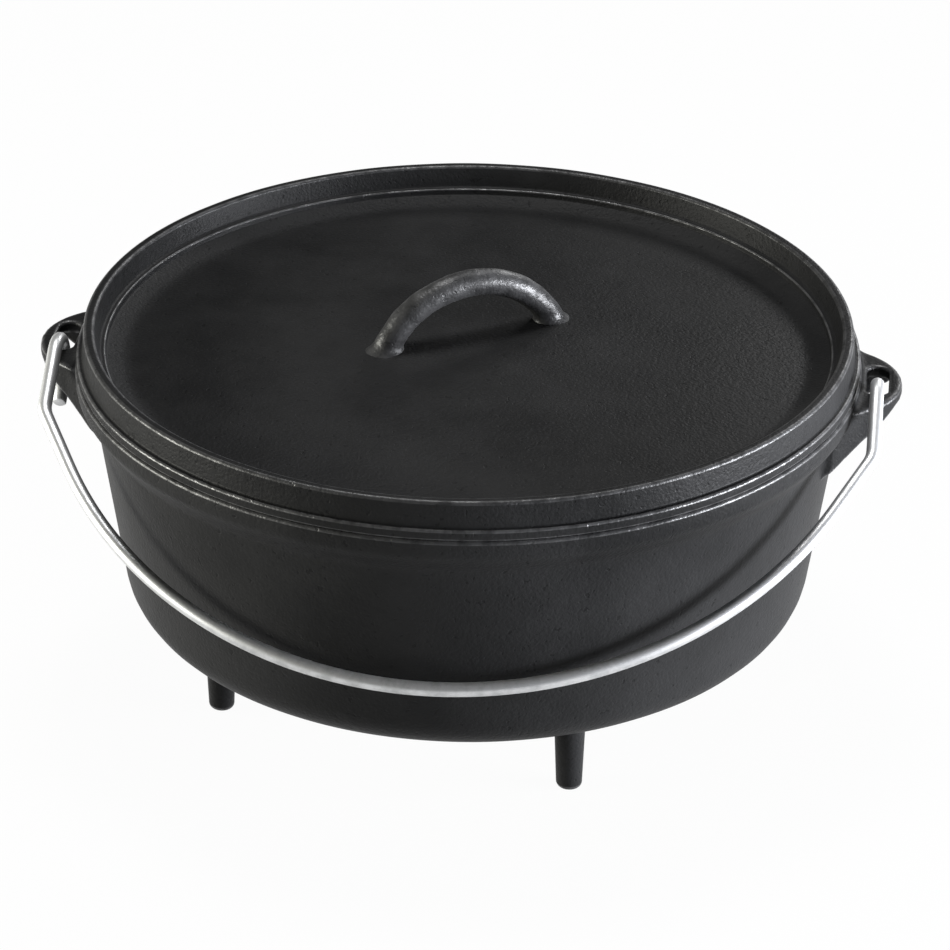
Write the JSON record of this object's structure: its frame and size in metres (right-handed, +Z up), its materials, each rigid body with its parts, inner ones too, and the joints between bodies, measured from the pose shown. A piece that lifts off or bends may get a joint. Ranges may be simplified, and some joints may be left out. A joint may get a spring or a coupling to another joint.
{
  "type": "camp dutch oven",
  "caption": "Cast-iron camp dutch oven on legs, with a dished lid that holds coals, a loop handle on the lid and a hinged wire bail for carrying or hanging.",
  "frame": {"origin": "on the ground under the middle of the pot", "axes": "+X along the line of the ears, +Y away from the side that the bail hangs on, +Z up"},
  "size_m": [0.373, 0.338, 0.1911],
  "materials": {
    "pot_iron": "seasoned, satin, fine casting grain",
    "lid_iron": "seasoned, satin, fine casting grain",
    "bail_wire": "bright zinc-plated wire"
  },
  "bodies": {
    "pot": {"pot_floor": "pot_iron", "pot_heel": "pot_iron", "pot_wall": "pot_iron", "pot_rim": "pot_iron", "ear_left": "pot_iron", "ear_right": "pot_iron", "leg_back_right": "pot_iron", "leg_back_left": "pot_iron", "leg_front_left": "pot_iron", "leg_front_right": "pot_iron"},
    "lid": {"lid_rim": "lid_iron", "lid_plate": "lid_iron", "lid_handle": "lid_iron"},
    "bail": {"bail": "bail_wire"}
  },
  "joints": [
    {"name": "lid_lift", "type": "slide", "parent": "pot", "child": "lid", "axis": [0, 0, 1], "range_m": [0, 0.012]},
    {"name": "bail_swing", "type": "hinge", "parent": "pot", "child": "bail", "pos_m": [0, -0.01886, 0.14223], "axis": [-1, 0, 0], "range_deg": [0, 122]}
  ]
}
